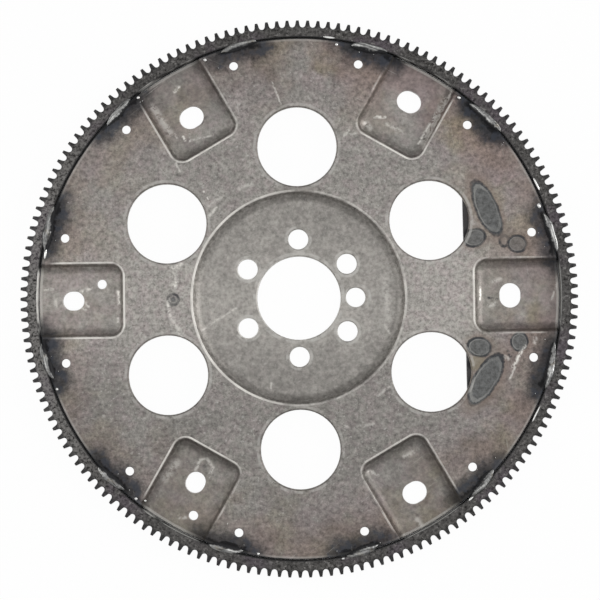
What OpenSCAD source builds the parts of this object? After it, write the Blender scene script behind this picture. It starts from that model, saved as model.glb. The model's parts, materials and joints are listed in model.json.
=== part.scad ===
// Flexplate: a stamped steel drive plate with a welded starter ring, lying engine side up.
// The axis is Z. Z = 0 is the crank seat, the upper face of the dished hub.

/* [Sheet] */
// Thickness of the sheet steel
sheet_t = 3; // [2.5:0.1:3.6]
// Radius of the disc's outer edge
disc_r = 168.2; // [162:0.1:176]
// Depth of the hub and of the pads below the web
dish_depth = 6; // [4:0.5:7]
// Slope of the dish walls
wall_angle = 60; // [50:1:68]
// Radius of the fold at the top of a dish wall
top_fold_r = 1.5; // [1:0.1:2]
// Radius of the fold at the foot of a dish wall
foot_fold_r = 7; // [2.5:0.1:7.4]

/* [Hub] */
// Radius at which the hub's fold starts
hub_r = 69.5; // [66:0.5:71]
// Radius of the pilot bore
pilot_r = 27; // [25:0.1:28]
// Circle diameter of the crank bolts
crank_pcd = 76.2; // [72:0.1:80]
// Radius of a crank bolt hole
crank_hole_r = 6.5; // [5.5:0.1:6.8]
// Angle of the two crank bolts beside the locating hole
crank_offset_angle = 35; // [33:0.5:38]
// Radius of the locating hole
locating_r = 6.3; // [5.5:0.1:6.6]
// Web between the pilot bore and the locating hole
locating_web = 3.4; // [2.5:0.1:5]

/* [Web] */
// Web between the hub's fold and a lightening hole
hub_web = 2.7; // [1.5:0.1:4]
// Radius of a lightening hole
lightening_r = 25.6; // [20:0.1:26]
// Distance of the rim holes from the disc's edge
rim_hole_margin = 12.2; // [11:0.1:13]
// Radius of a rim hole
rim_hole_r = 2.8; // [2:0.1:3]

/* [Pads] */
// Width of a pad between its folds
pad_w = 49; // [46:0.5:50]
// Distance of a pad's inner fold from the axis
pad_start = 112.5; // [111:0.5:114]
// Plan radius of a pad's inner corners
pad_corner_r = 9; // [9:0.5:12]
// Circle diameter of the inner converter slots
converter_pcd_inner = 273.05; // [270:0.05:276]
// Circle diameter of the outer converter slots
converter_pcd_outer = 292.1; // [289:0.05:294]
// Width of a converter slot
slot_w = 13.6; // [12:0.1:14]
// Length of a converter slot around the disc
slot_length = 15.9; // [15:0.1:18]
// Width of the two locating slots
snug_slot_w = 12.3; // [11:0.1:13]
// Length of the two locating slots along the radius
snug_slot_length = 13.8; // [13.2:0.1:15]
// Distance of the left pad's small hole from the pad's inner fold
left_pilot_inset = 15.5; // [14:0.1:17]
// Distance of the lower left pad's small hole from the disc's edge
lower_pilot_margin = 12.1; // [10:0.1:14]
// Radius of the small holes in the locating pads
pilot_hole_r = 3; // [2:0.1:3.5]

/* [Ring] */
// Number of teeth
teeth = 168; // [168]
// Height of the teeth
tooth_depth = 4.8; // [4:0.1:5]
// Thickness of the ring between its bore and the tooth gaps
ring_body = 6.1; // [5:0.1:9]
// Gap between the disc's edge and the ring's bore
ring_gap = 0.8; // [0.4:0.1:1]
// Width of a tooth at its tip
tip_w = 1.7; // [1.5:0.05:2]
// Slope of the tooth flanks
flank_angle = 11.3; // [9:0.1:13]
// Turn of the teeth around the disc
tooth_turn = -0.42; // [-1:0.02:1]
// Width of the ring along the axis
ring_w = 9.5; // [8:0.1:9.8]
// Height of the ring's face above the web
ring_rise = 0.9; // [0.6:0.1:1.2]
// Size of the chamfer on the tooth tips
tooth_chamfer = 1.6; // [1:0.1:2]

/* [Ring welds] */
// Reach of a bead over the disc's edge
bead_disc_lap = 2.8; // [2:0.1:3.6]
// Reach of a bead over the ring's face
bead_ring_lap = 1.3; // [0.8:0.1:1.6]
// Height of a bead above the web
bead_rise = 2.4; // [1.8:0.1:2.8]
// Depth of a bead in the gap under the web's face
bead_root = 1.2; // [0.8:0.1:1.8]

/* [Counterweights] */
// Thickness of a counterweight
weight_t = 5.5; // [4:0.1:5.8]
// Depth of a counterweight between its outer edge and its straight inner edge
weight_depth = 44.6; // [42:0.1:46]
// Room between a counterweight's outer edge and the rim holes
weight_rim_room = 1.4; // [1:0.1:3]
// Angle of the outer end from the pad's centre line
weight_end_angle = 36.5; // [36:0.5:42]
// Room between a weight and the back of the pad
weight_room = 2; // [1.8:0.1:3]
// Turn of both weights around the disc
weight_turn = 0.6; // [0:0.1:0.7]
// Distance of the slot weld's middle from the weight's inner edge
weight_slot_inset = 13.5; // [12.5:0.1:15]
// Distance of the slot weld's middle from the weight's side
weight_slot_offset = 27.8; // [26.5:0.1:29]
// Length of the slot weld
weight_slot_length = 28; // [24:0.5:29]
// Width of the slot weld
weight_slot_w = 10; // [8:0.1:10.5]
// Slope of the slot weld across the pad's centre line
weight_slot_angle = 30; // [26:1:34]
// Distance of the inner plug weld from the weight's inner edge
inner_plug_inset = 8.2; // [7.5:0.1:9.5]
// Distance of the inner plug weld from the weight's side
inner_plug_offset = 8.4; // [7.5:0.1:9.5]
// Radius of the inner plug weld
inner_plug_r = 4.5; // [3.5:0.1:4.8]
// Distance of the outer plug weld from the weight's outer edge, along the pad
outer_plug_inset = 10.2; // [9.5:0.1:12]
// Distance of the outer plug weld from the weight's side
outer_plug_offset = 5.2; // [4.5:0.1:6.5]
// Radius of the outer plug weld
outer_plug_r = 3.2; // [2.5:0.1:3.4]
// How far the weld metal stops below a weight's outer face
weld_underfill = 0.8; // [0.4:0.1:1.5]

/* [Hidden] */
$fn = 360;
fold_steps = 6;
fold_lead = 4;
gap_steps = 6;
bead_steps = 10;
grid = 0.001;
past = 2;

pads = 6;
pad_pitch = 360 / pads;
rim_holes = 2 * pads;
rim_pitch = 360 / rim_holes;
bead_fold_room = 0.3;
// Turn of each bead from its rim hole, around the disc
bead_turns = [-1.2, -1.7, -1.6, -2.2, -1.6, -1.2, -1.6, -1.8, -1.9, -1.6, -0.9, -0.8];
// Length of each bead, as an angle
bead_spans = [8.8, 9.2, 8.2, 8.2, 7.8, 10, 8.2, 7.6, 7.6, 7.2, 7.4, 10.4];
weight_sides = ["upper", "lower"];

web_top = dish_depth;
web_back = web_top - sheet_t;
floor_back = -sheet_t;
web_mid = (web_top + web_back) / 2;

// Half-angle factor of the folds: how far a fold's arc reaches from its corner, for each unit of radius
fold_reach = tan(wall_angle / 2);
// Offsets from the fold's start, measured into the dish
front_top_corner = top_fold_r * fold_reach;
front_foot_corner = front_top_corner + dish_depth / tan(wall_angle);
back_top_corner = front_top_corner - sheet_t * fold_reach;
dish_run = front_foot_corner + foot_fold_r * fold_reach;
back_foot_r = foot_fold_r + sheet_t;

crank_angles = [90, 150, 210, 270, crank_offset_angle, -crank_offset_angle];
crank_r = crank_pcd / 2;
locating_place = pilot_r + locating_web + locating_r;
lightening_place = hub_r + hub_web + lightening_r;
rim_hole_place = disc_r - rim_hole_margin;

// Small holes of the locating pads: distance from the axis and angle
left_pilot_hole = [pad_start + left_pilot_inset, 175.25];
lower_pilot_hole = [disc_r - lower_pilot_margin, 243.4];

ring_bore_r = disc_r + ring_gap;
root_r = ring_bore_r + ring_body;
tip_r = root_r + tooth_depth;
bead_inner_r = disc_r - bead_disc_lap;
bead_outer_r = ring_bore_r + bead_ring_lap;
ring_top = web_top + ring_rise;
ring_bottom = ring_top - ring_w;
tooth_pitch = 360 / teeth;
gap_half_angle = tooth_pitch / 2 - asin(tip_w / 2 / tip_r);
// The gap's bottom is one round: an arc that touches both flanks and the root circle
gap_half_w = tip_r * sin(gap_half_angle);
gap_round_r = (gap_half_w * cos(flank_angle) - (tip_r * cos(gap_half_angle) - root_r) * sin(flank_angle))
    / (1 - sin(flank_angle));

weight_bottom = web_back - weight_t;
weld_bottom = weight_bottom + weld_underfill;
pad_back_half_w = pad_w / 2 - back_top_corner;
weight_side = pad_back_half_w + weight_room;
weight_outer_r = rim_hole_place - rim_hole_r - weight_rim_room;
weight_inner = weight_outer_r - weight_depth;
weight_slot_at = [weight_inner + weight_slot_inset, weight_side + weight_slot_offset];
inner_plug_at = [weight_inner + inner_plug_inset, weight_side + inner_plug_offset];
outer_plug_at = [weight_outer_r - outer_plug_inset, weight_side + outer_plug_offset];

// A point moved to the grid, so that straight and turned walls share their corners exactly
function on_grid(p) = [round(p.x / grid) * grid, round(p.y / grid) * grid];

// Points of an arc of radius r around c, from angle a to angle b
function arc(c, r, a, b, steps) =
    [for (i = [0 : steps]) let (t = a + (b - a) * i / steps) on_grid(c + r * [cos(t), sin(t)])];

// The front of a dish wall as [distance into the dish, height], from the web down to the floor
// Its first stretch starts above the web, so that the fold cuts the web's face at an angle
function front_wall() = let (
    fold = arc([0, web_top - top_fold_r], top_fold_r, 90, 90 - wall_angle, fold_steps)
) concat(
    [on_grid(fold[0] + fold_lead * (fold[0] - fold[1]))],
    [for (i = [1 : fold_steps]) fold[i]],
    arc([dish_run, foot_fold_r], foot_fold_r, 270 - wall_angle, 270, fold_steps)
);

// The back of a dish wall: a sharp corner under the web, then a round foot
function back_wall() = concat(
    [on_grid([back_top_corner - (web_mid - web_back) / tan(wall_angle), web_mid])],
    arc([dish_run, floor_back + back_foot_r], back_foot_r, 270 - wall_angle, 270, fold_steps)
);

// A wall's points closed over a stretch of floor, up to the given height
function dish_section(wall, width, top) = concat(
    wall,
    [[width, wall[len(wall) - 1].y], [width, top]],
    wall[0].y < top ? [[wall[0].x, top]] : []
);

// Points of one tooth gap, from one tip corner to the other, turned to angle a
function tooth_gap(a) = let (
    c = [root_r + gap_round_r, 0],
    round_pts = arc(c, gap_round_r, 270 - flank_angle, 90 + flank_angle, gap_steps),
    tips = [for (s = [-1, 1]) tip_r * [cos(gap_half_angle), s * sin(gap_half_angle)]]
) [for (p = concat([tips[0]], round_pts, [tips[1]]))
    [p.x * cos(a) - p.y * sin(a), p.x * sin(a) + p.y * cos(a)]];

// Height of a bead's crest line at distance r: a flat dome from toe to toe
function bead_dome(r) = let (
    u = (r - bead_inner_r) / (bead_outer_r - bead_inner_r)
) web_top + ring_rise * u + (bead_rise - ring_rise / 2) * sqrt(max(0, 1 - pow(2 * u - 1, 2)));

function rim_hole_angle(i) = rim_pitch / 2 + rim_pitch * i;

ring_weld_names = [for (i = [1 : rim_holes]) str("ring_weld_", i < 10 ? "0" : "", i)];

// A child repeated around the axis
module around(count, start = 0) {
    for (i = [0 : count - 1])
        rotate([0, 0, start + i * 360 / count])
            children();
}

// The solid between a dish wall's surface and the given height, for one pad along +X, open at the rim
module pad_dish(wall, top) {
    corner_x = pad_start + pad_corner_r;
    corner_y = pad_w / 2 - pad_corner_r;
    run = disc_r + past - corner_x;
    bottom = wall[len(wall) - 1].y;
    section = dish_section(wall, pad_corner_r, top);
    translate([corner_x, -corner_y, bottom])
        cube([run, 2 * corner_y, top - bottom]);
    for (s = [0, 1])
        mirror([0, s, 0]) {
            translate([corner_x, pad_w / 2, 0])
                rotate([90, 0, 90])
                    linear_extrude(run)
                        mirror([1, 0, 0])
                            polygon(section);
            translate([corner_x, corner_y, 0])
                rotate([0, 0, 90])
                    rotate_extrude(angle = 90)
                        polygon([for (p = section) [pad_corner_r - p.x, p.y]]);
        }
    translate([pad_start, corner_y, 0])
        rotate([90, 0, 0])
            linear_extrude(2 * corner_y)
                polygon(section);
}

// The same for the round hub
module hub_dish(wall, top) {
    rotate_extrude()
        polygon([for (p = dish_section(wall, hub_r, top)) [hub_r - p.x, p.y]]);
}

// A round-ended slot cut along X
module slot_cut(length, width, bottom, top) {
    straight = length - width;
    translate([0, 0, bottom]) {
        translate([-straight / 2, -width / 2, 0])
            cube([straight, width, top - bottom]);
        for (s = [-1, 1])
            translate([s * straight / 2, 0, 0])
                cylinder(h = top - bottom, d = width);
    }
}

// A round hole through the whole sheet at [distance, angle]
module sheet_hole(place, angle, r) {
    rotate([0, 0, angle])
        translate([place, 0, floor_back - past])
            cylinder(h = web_top - floor_back + 2 * past, r = r);
}

// One converter slot: a snug one runs along the radius, the others run around the disc
module converter_slot(i) {
    snug = i == 3 || i == 4;
    place = (i % 2 == 0 ? converter_pcd_inner : converter_pcd_outer) / 2;
    rotate([0, 0, i * pad_pitch])
        translate([place, 0, 0])
            rotate([0, 0, snug ? 0 : 90])
                slot_cut(
                    snug ? snug_slot_length : slot_length,
                    snug ? snug_slot_w : slot_w,
                    floor_back - past,
                    web_top
                );
}

module disc() {
    color([0.56, 0.54, 0.51])
        difference() {
            intersection() {
                union() {
                    translate([0, 0, web_back])
                        cylinder(h = sheet_t, r = disc_r + past);
                    hub_dish(back_wall(), web_mid);
                    around(pads)
                        pad_dish(back_wall(), web_mid);
                }
                translate([0, 0, floor_back - past])
                    cylinder(h = web_top - floor_back + 2 * past, r = disc_r);
            }
            hub_dish(front_wall(), web_top + past);
            around(pads)
                pad_dish(front_wall(), web_top + past);
            sheet_hole(0, 0, pilot_r);
            sheet_hole(locating_place, 0, locating_r);
            for (a = crank_angles)
                sheet_hole(crank_r, a, crank_hole_r);
            for (i = [0 : pads - 1])
                sheet_hole(lightening_place, pad_pitch / 2 + i * pad_pitch, lightening_r);
            for (i = [0 : rim_holes - 1])
                sheet_hole(rim_hole_place, rim_hole_angle(i), rim_hole_r);
            for (i = [0 : pads - 1])
                converter_slot(i);
            for (hole = [left_pilot_hole, lower_pilot_hole])
                sheet_hole(hole[0], hole[1], pilot_hole_r);
        }
}

module ring_gear() {
    color([0.30, 0.30, 0.31])
        difference() {
            translate([0, 0, ring_bottom])
                linear_extrude(ring_w)
                    polygon([for (i = [0 : teeth - 1]) each tooth_gap((i + 0.5) * tooth_pitch + tooth_turn)]);
            translate([0, 0, ring_bottom - past])
                cylinder(h = ring_w + 2 * past, r = ring_bore_r);
            // The chamfer leans in from the tips by its size, over twice that height
            rotate_extrude()
                polygon([
                    [tip_r - tooth_chamfer, ring_top],
                    [tip_r + tooth_chamfer, ring_top - 2 * tooth_chamfer],
                    [tip_r + tooth_chamfer, ring_top + past],
                    [tip_r - tooth_chamfer, ring_top + past]
                ]);
        }
}

// A bead's section: a dome over the disc's margin and the ring's edge, with a root in the gap between them
module bead_section() {
    polygon(concat(
        [
            [bead_inner_r, web_top],
            [disc_r, web_top],
            [disc_r, web_top - bead_root],
            [ring_bore_r, web_top - bead_root],
            [ring_bore_r, ring_top],
            [bead_outer_r, ring_top]
        ],
        [for (i = [bead_steps - 1 : -1 : 1])
            let (r = bead_inner_r + (bead_outer_r - bead_inner_r) * i / bead_steps)
            [r, bead_dome(r)]]
    ));
}

// One bead: its section swept over its span, with both ends narrowed by a boat-shaped outline
module ring_weld(i) {
    span = bead_spans[i];
    mid_r = (disc_r + ring_bore_r) / 2;
    half_w = mid_r - bead_inner_r + bead_fold_room;
    half_length = mid_r * sin(span / 2);
    bow_r = (half_length * half_length + half_w * half_w) / (2 * half_w);
    color([0.62, 0.62, 0.62])
        rotate([0, 0, rim_hole_angle(i) + bead_turns[i]])
            intersection() {
                rotate([0, 0, -span / 2])
                    rotate_extrude(angle = span)
                        bead_section();
                boat_outline(mid_r, half_w, bow_r);
            }
}

// The boat-shaped outline, as the overlap of two large cylinders
module boat_outline(mid_r, half_w, bow_r) {
    intersection() {
        bow_cylinder(mid_r + half_w - bow_r, bow_r);
        bow_cylinder(mid_r - half_w + bow_r, bow_r);
    }
}

module bow_cylinder(x, r) {
    translate([x, 0, web_top - bead_root - past])
        cylinder(h = bead_root + bead_rise + ring_rise + 2 * past, r = r);
}

// Placed as a weight of that side: the lower one is the upper one's mirror image
module weight_place(side) {
    rotate([0, 0, weight_turn])
        mirror([0, side == "lower" ? 1 : 0, 0])
            children();
}

module weight_slot(bottom, top) {
    translate([weight_slot_at.x, weight_slot_at.y, 0])
        rotate([0, 0, 90 + weight_slot_angle])
            slot_cut(weight_slot_length, weight_slot_w, bottom, top);
}

module weight_plug(at, r, bottom, top) {
    translate([at.x, at.y, bottom])
        cylinder(h = top - bottom, r = r);
}

module counterweight(side) {
    color([0.36, 0.35, 0.34])
        weight_place(side)
            difference() {
                intersection() {
                    translate([0, 0, weight_bottom])
                        cylinder(h = weight_t, r = weight_outer_r);
                    translate([0, 0, weight_bottom])
                        linear_extrude(weight_t)
                            polygon([
                                [weight_inner, weight_side],
                                [weight_outer_r + past, weight_side],
                                [weight_outer_r + past, (weight_outer_r + past) * tan(weight_end_angle)],
                                [weight_inner, weight_inner * tan(weight_end_angle)]
                            ]);
                }
                weight_slot(weight_bottom - past, web_back + past);
                weight_plug(inner_plug_at, inner_plug_r, weight_bottom - past, web_back + past);
                weight_plug(outer_plug_at, outer_plug_r, weight_bottom - past, web_back + past);
            }
}

module slot_weld(side) {
    color([0.45, 0.44, 0.43])
        weight_place(side)
            weight_slot(weld_bottom, web_back);
}

module plug_weld(side, at, r) {
    color([0.45, 0.44, 0.43])
        weight_place(side)
            weight_plug(at, r, weld_bottom, web_back);
}

disc();
ring_gear();
for (i = [0 : rim_holes - 1])
    ring_weld(i);
for (side = weight_sides) {
    counterweight(side);
    slot_weld(side);
    plug_weld(side, inner_plug_at, inner_plug_r);
    plug_weld(side, outer_plug_at, outer_plug_r);
}
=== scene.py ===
"""A flexplate lying engine side up: a dished steel disc with a welded starter ring.

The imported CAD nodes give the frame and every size. Each node is shown by a finer piece in
the same place: sheet, weights and ring with rounded edges, welds with ripples. Field values
are millimetres and degrees unless a name says otherwise.
"""

import json
import logging
import math
import random
from abc import ABC, abstractmethod
from dataclasses import dataclass
from enum import Enum
from typing import ClassVar

import bmesh
import bpy
from mathutils import Euler, Matrix, Vector, noise

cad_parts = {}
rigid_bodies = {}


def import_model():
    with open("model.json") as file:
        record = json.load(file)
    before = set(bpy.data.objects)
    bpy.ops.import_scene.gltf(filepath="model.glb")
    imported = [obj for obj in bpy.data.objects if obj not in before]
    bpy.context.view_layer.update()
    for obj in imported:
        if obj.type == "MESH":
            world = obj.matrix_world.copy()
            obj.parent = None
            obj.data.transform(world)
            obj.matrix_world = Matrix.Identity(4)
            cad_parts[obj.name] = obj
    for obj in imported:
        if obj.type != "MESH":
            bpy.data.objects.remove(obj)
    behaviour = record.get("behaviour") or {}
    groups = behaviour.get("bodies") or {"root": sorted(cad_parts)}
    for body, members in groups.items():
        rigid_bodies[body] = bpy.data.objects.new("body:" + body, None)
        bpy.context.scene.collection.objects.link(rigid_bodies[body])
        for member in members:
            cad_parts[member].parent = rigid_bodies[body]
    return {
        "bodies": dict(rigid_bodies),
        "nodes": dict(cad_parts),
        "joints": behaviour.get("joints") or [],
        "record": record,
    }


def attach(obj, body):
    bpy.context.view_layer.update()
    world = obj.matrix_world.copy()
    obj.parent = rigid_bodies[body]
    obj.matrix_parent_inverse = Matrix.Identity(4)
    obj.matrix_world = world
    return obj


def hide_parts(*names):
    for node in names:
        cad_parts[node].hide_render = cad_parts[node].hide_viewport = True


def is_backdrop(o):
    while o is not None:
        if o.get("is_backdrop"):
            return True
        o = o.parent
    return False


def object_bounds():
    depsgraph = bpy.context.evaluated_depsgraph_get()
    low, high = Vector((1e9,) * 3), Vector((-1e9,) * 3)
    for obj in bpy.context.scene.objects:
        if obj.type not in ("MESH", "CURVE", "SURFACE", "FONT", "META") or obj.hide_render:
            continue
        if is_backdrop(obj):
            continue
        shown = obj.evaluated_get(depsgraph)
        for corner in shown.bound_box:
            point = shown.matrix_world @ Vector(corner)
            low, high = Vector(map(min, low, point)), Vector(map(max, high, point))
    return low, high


LOG = logging.getLogger("flexplate")
MM = 0.001
BODY = "root"
WEB_TOP = 6.0
RING_TOP = 6.9
RING_BORE = 169.0
DISC_RADIUS = 168.2
LIGHTENING_PLACE = 97.8
LIGHTENING_RADIUS = 25.6
PILOT_RADIUS = 27.0
BEAD_RADIUS = 168.0
BEAD_COUNT = 12
BEAD_PITCH = math.tau / BEAD_COUNT
PAD_PITCH = math.tau / 6
SEED_STEP = (31.7, 17.3, 7.1)
Colour = tuple[float, float, float]
Point = tuple[float, float]


class Slot(Enum):
    """Material slots of the record."""

    PLATE = "plate_steel"
    RING = "ring_steel"
    WELD = "weld_metal"
    WEIGHT = "counterweight_steel"


class Side(Enum):
    """The two counterweights, above and below the right-hand pad in the picture."""

    UPPER = "upper"
    LOWER = "lower"


class Wire:
    """One shader socket. Arithmetic on it adds Math nodes to its tree."""

    def __init__(self, tree: bpy.types.NodeTree, socket: bpy.types.NodeSocket | None = None) -> None:
        self.tree = tree
        self.socket = socket

    def node(
        self, kind: str, settings: dict | None = None, inputs: dict | None = None, output: int | str = 0
    ) -> "Wire":
        """Adds a node of any kind.

        Args:
            kind: The node's type name.
            settings: Properties of the node.
            inputs: Wires or plain values by input name or number.
            output: Which output to return.

        Returns:
            The chosen output.
        """
        made = self.tree.nodes.new(kind)
        for key, value in (settings or {}).items():
            setattr(made, key, value)
        for key, value in (inputs or {}).items():
            if isinstance(value, Wire):
                self.tree.links.new(value.socket, made.inputs[key])
            else:
                made.inputs[key].default_value = value
        return Wire(self.tree, made.outputs[output])

    def math(self, operation: str, *others: "Wire | float") -> "Wire":
        """A Math node of the given operation on this value and others."""
        return self.node("ShaderNodeMath", {"operation": operation}, dict(enumerate((self, *others))))

    def vector(self, operation: str, *others: "Wire | tuple", output: int | str = 0) -> "Wire":
        """A Vector Math node of the given operation on this vector and others."""
        inputs = dict(enumerate((self, *others)))
        return self.node("ShaderNodeVectorMath", {"operation": operation}, inputs, output)

    def __add__(self, other: "Wire | float") -> "Wire":
        return self.math("ADD", other)

    def __sub__(self, other: "Wire | float") -> "Wire":
        return self.math("SUBTRACT", other)

    def __rsub__(self, other: float) -> "Wire":
        return self.node("ShaderNodeMath", {"operation": "SUBTRACT"}, {0: other, 1: self})

    def __mul__(self, other: "Wire | float") -> "Wire":
        return self.math("MULTIPLY", other)

    __radd__ = __add__
    __rmul__ = __mul__

    def __truediv__(self, other: "Wire | float") -> "Wire":
        return self.math("DIVIDE", other)

    def __pow__(self, other: float) -> "Wire":
        return self.math("POWER", other)

    def __abs__(self) -> "Wire":
        return self.math("ABSOLUTE")

    def top(self, other: "Wire | float") -> "Wire":
        """The larger of two values."""
        return self.math("MAXIMUM", other)

    def hypot(self, other: "Wire") -> "Wire":
        """The length of two values at right angles."""
        return (self * self + other * other) ** 0.5

    def wrapped(self, pitch: float) -> "Wire":
        """This angle's distance from the nearest whole pitch, with its sign."""
        return self.math("WRAP", pitch / 2, -pitch / 2)

    def spun(self, degrees: float) -> "Wire":
        """This place turned about the Z axis."""
        inputs = {"Vector": self, "Angle": math.radians(degrees)}
        return self.node("ShaderNodeVectorRotate", {"rotation_type": "Z_AXIS"}, inputs)

    def lumps(
        self, scale: float = 1.0, detail: float = 2.0, rough: float = 0.5, output: int | str = 0
    ) -> "Wire":
        """Noise read at this place."""
        inputs = {"Vector": self, "Scale": scale, "Detail": detail, "Roughness": rough}
        return self.node("ShaderNodeTexNoise", None, inputs, output)

    def fade(self, start: float, end: float) -> "Wire":
        """A smooth step that is 0 at start and 1 at end, whichever is the larger."""
        return self.node(
            "ShaderNodeMapRange",
            {"interpolation_type": "SMOOTHSTEP"},
            {"Value": self, "From Min": start, "From Max": end},
        )

    def band(self, low: float, high: float, soft: float) -> "Wire":
        """1 between low and high, fading to 0 over the soft width on both sides."""
        return self.fade(low - soft, low) * self.fade(high + soft, high)

    def scaled(self, factor: "Wire | float") -> "Wire":
        """This colour or vector times a factor."""
        return self.node("ShaderNodeVectorMath", {"operation": "SCALE"}, {0: self, "Scale": factor})

    def over(self, colour: "Wire | Colour", amount: "Wire | float") -> "Wire":
        """This colour covered by another one.

        Args:
            colour: The covering colour.
            amount: How much of it shows, from 0 to 1.

        Returns:
            The mixed colour.
        """
        upper = colour if isinstance(colour, Wire) else (*colour, 1.0)
        return self.node("ShaderNodeMix", {"data_type": "RGBA"}, {0: amount, 6: self, 7: upper}, 2)


class Spot:
    """Where a shaded point lies on the part: its place in millimetres, polar place and slope."""

    def __init__(self, tree: bpy.types.NodeTree) -> None:
        start = Wire(tree)
        self.start = start
        self.place = start.node("ShaderNodeTexCoord", output="Object").scaled(1 / MM)
        self.x, self.y, self.z = (
            start.node("ShaderNodeSeparateXYZ", inputs={0: self.place}, output=axis) for axis in range(3)
        )
        self.flat = start.node("ShaderNodeCombineXYZ", inputs={0: self.x, 1: self.y})
        self.radius = self.x.hypot(self.y)
        self.angle = self.y.math("ARCTAN2", self.x)
        normal = start.node("ShaderNodeTexCoord", output="Normal")
        self.rise = start.node("ShaderNodeSeparateXYZ", inputs={0: normal}, output=2)
        self.outward = normal.vector("DOT_PRODUCT", self.flat, output="Value") / self.radius

    def colour(self, value: Colour) -> Wire:
        """A plain colour as a wire."""
        made = self.start.node("ShaderNodeRGB")
        made.socket.default_value = (*value, 1.0)
        return made

    def moved(self, seed: float) -> Wire:
        """The place, moved by a seed."""
        return self.place.vector("ADD", tuple(seed * step for step in SEED_STEP))

    def noise(self, size: float, detail: float = 3.0, seed: float = 0.0, rough: float = 0.55) -> Wire:
        """Noise from 0 to 1.

        Args:
            size: Size of its coarsest lumps.
            detail: How many finer layers it has.
            seed: Moves it to another place.
            rough: Strength of the finer layers.

        Returns:
            The noise value.
        """
        return self.moved(seed).lumps(1 / size, detail, rough)

    def streaks(self, length: float, width: float, turn: float, seed: float) -> Wire:
        """Noise drawn out along one direction of the sheet, for rolling lines and fine scratches."""
        drawn = self.place.spun(turn).vector("MULTIPLY", (1 / length, 1 / width, 1 / length))
        return drawn.vector("ADD", (seed * 3.7, seed * 9.1, seed)).lumps()

    def around(self, length: float, width: float, seed: float) -> Wire:
        """Noise drawn out around the axis, for the flow lines of the ring welds."""
        turn = self.angle * (BEAD_RADIUS / length)
        inputs = {0: self.radius / width, 1: turn, 2: seed}
        return self.start.node("ShaderNodeCombineXYZ", inputs=inputs).lumps()

    def shaken(self, size: float, seed: float, reach: float) -> Wire:
        """The place in plan, pushed about by noise, so that lines measured from it are ragged."""
        push = self.moved(seed).lumps(1 / size, 3.0, output="Color").vector("SUBTRACT", (0.5, 0.5, 0.5))
        return self.flat.vector("ADD", push.vector("MULTIPLY", (reach, reach, 0.0)))

    def to_line(self, begin: Point, end: Point, flat: Wire | None = None) -> Wire:
        """Distance in plan from a straight line.

        Args:
            begin: Where the line begins.
            end: Where it ends.
            flat: The place to measure from, if it isn't this one.

        Returns:
            The distance.
        """
        flat = flat or self.flat
        run = (end[0] - begin[0], end[1] - begin[1], 0.0)
        square = run[0] ** 2 + run[1] ** 2
        from_begin = flat.vector("SUBTRACT", (*begin, 0.0))
        share = from_begin.vector("DOT_PRODUCT", tuple(v / square for v in run), output="Value")
        share = share.node("ShaderNodeClamp", inputs={0: share})
        along = self.start.node("ShaderNodeVectorMath", {"operation": "SCALE"}, {0: run, "Scale": share})
        return from_begin.vector("SUBTRACT", along).vector("LENGTH", output="Value")

    def in_oval(self, oval: "Oval", wobble: Wire) -> Wire:
        """Distance from an oval's middle in plan, where 1 is its edge."""
        turned = self.flat.vector("SUBTRACT", (oval.x, oval.y, 0.0)).spun(-oval.turn)
        unit = turned.vector("MULTIPLY", (2 / oval.length, 2 / oval.width, 0.0))
        return unit.vector("LENGTH", output="Value") + wobble


@dataclass(frozen=True)
class Oval:
    """An oval mark on the sheet's front. A negative halo is straw, not brown."""

    x: float
    y: float
    length: float
    width: float
    turn: float
    strength: float = 0.95
    halo: float = 1.0
    line: float = 0.7


@dataclass(frozen=True)
class Mark:
    """A scratch or scuff on the sheet's front. A negative strength darkens."""

    x: float
    y: float
    end_x: float
    end_y: float
    width: float
    strength: float


@dataclass
class Look:
    """What a finish gives its material at one point."""

    colour: Wire
    roughness: Wire
    metallic: Wire
    height: Wire
    relief: float = 0.06


@dataclass(frozen=True)
class Finish(ABC):
    """One procedural metal finish, read from object coordinates."""

    name: str
    gloss: ClassVar[float] = 0.25

    @abstractmethod
    def look(self, spot: Spot) -> Look:
        """The finish at one point."""

    def material(self) -> bpy.types.Material:
        """The finish as a material, made once and shared."""
        made = bpy.data.materials.get(self.name)
        if made:
            return made
        made = bpy.data.materials.new(self.name)
        made.use_nodes = True
        tree = made.node_tree
        shader = tree.nodes["Principled BSDF"]
        shader.inputs["Specular IOR Level"].default_value = self.gloss
        look = self.look(Spot(tree))
        bump = look.height.node(
            "ShaderNodeBump", None, {"Strength": 1.0, "Distance": look.relief * MM, "Height": look.height}
        )
        for name, wire in (
            ("Base Color", look.colour),
            ("Roughness", look.roughness),
            ("Metallic", look.metallic),
            ("Normal", bump),
        ):
            tree.links.new(wire.socket, shader.inputs[name])
        return made


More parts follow.
